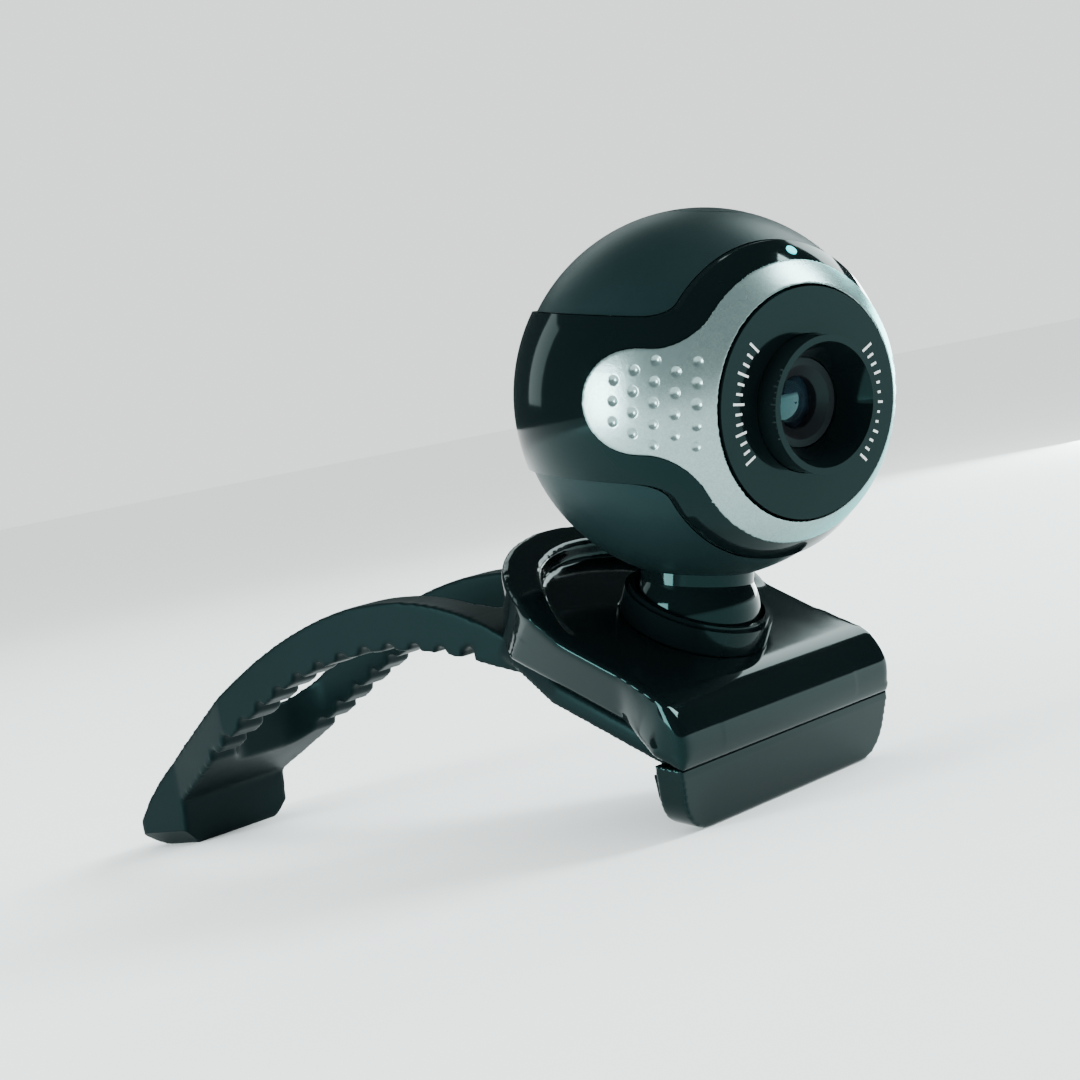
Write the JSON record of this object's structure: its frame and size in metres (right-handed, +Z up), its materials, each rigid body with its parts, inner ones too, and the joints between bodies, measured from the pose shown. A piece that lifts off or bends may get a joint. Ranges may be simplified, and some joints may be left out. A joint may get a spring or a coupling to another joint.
{
  "type": "webcam",
  "caption": "Ball webcam with a focus ring and snapshot button, on a swivelling clip stand with a flexible forked rear leg.",
  "frame": {"origin": "on the table, under the middle of the whole footprint", "axes": "+Z up; the front of the stand, its lip, faces -Y; the leg runs back towards +Y"},
  "size_m": [0.0558, 0.1464, 0.083],
  "materials": {
    "matt_shell": "fine matt texture",
    "gloss_black": "polished",
    "silver_paint": "satin silver paint",
    "satin_rubber": "satin",
    "lens_glass": "coated",
    "black_anodised": "black anodised",
    "circuit_board": "solder mask",
    "chip": "epoxy",
    "steel": "bright",
    "light_blue": "translucent"
  },
  "bodies": {
    "stand": {"top_housing": "gloss_black", "front_apron": "gloss_black", "lip_pad": "satin_rubber", "leg_tray": "satin_rubber", "stand_screws": "steel", "friction_washer": "steel"},
    "swivel": {"swivel_collar": "gloss_black", "swivel_clip": "steel", "tilt_pin": "steel"},
    "head": {"upper_shell": "matt_shell", "lower_shell": "matt_shell", "belt_upper": "gloss_black", "belt_lower": "gloss_black", "face_plate": "silver_paint", "lens_disc": "gloss_black", "lens_frame": "matt_shell", "main_board": "circuit_board", "board_screws": "steel", "image_sensor": "chip", "button_board": "circuit_board", "snapshot_switch": "chip", "light_pipe": "light_blue", "status_led": "light_blue", "lens_holder": "matt_shell", "ir_filter": "lens_glass", "cable_outlet": "satin_rubber", "neck_post": "gloss_black", "shell_screws": "steel"},
    "focus_ring": {"focus_ring": "gloss_black", "lens_barrel": "black_anodised", "front_lens": "lens_glass", "rear_lens": "lens_glass"},
    "snapshot_button": {"snapshot_button": "matt_shell"},
    "leg": {"leg_fork": "satin_rubber"}
  },
  "joints": [
    {"name": "head_swivel", "type": "hinge", "parent": "stand", "child": "swivel", "pos_m": [-0.00136, -0.03981, 0.027], "axis": [0, -0.5, 0.866], "range_deg": [-59, 90]},
    {"name": "head_tilt", "type": "hinge", "parent": "swivel", "child": "head", "pos_m": [-0.00136, -0.03981, 0.027], "axis": [0.9632, -0.2329, -0.1345], "range_deg": [-0.8, 37.5]},
    {"name": "focus_turn", "type": "hinge", "parent": "head", "child": "focus_ring", "pos_m": [0.0013, -0.04616, 0.05702], "axis": [-0.2547, -0.9504, -0.1785], "range_deg": [-120, 120]},
    {"name": "snapshot_press", "type": "slide", "parent": "head", "child": "snapshot_button", "axis": [-0.0862, 0.2062, -0.9747], "range_m": [0, 0.00055], "stiffness_N_per_m": 400},
    {"name": "leg_flex", "type": "hinge", "parent": "stand", "child": "leg", "pos_m": [-0.00136, -0.00881, 0.0303], "axis": [1, 0, 0], "range_deg": [-15, 15]}
  ]
}
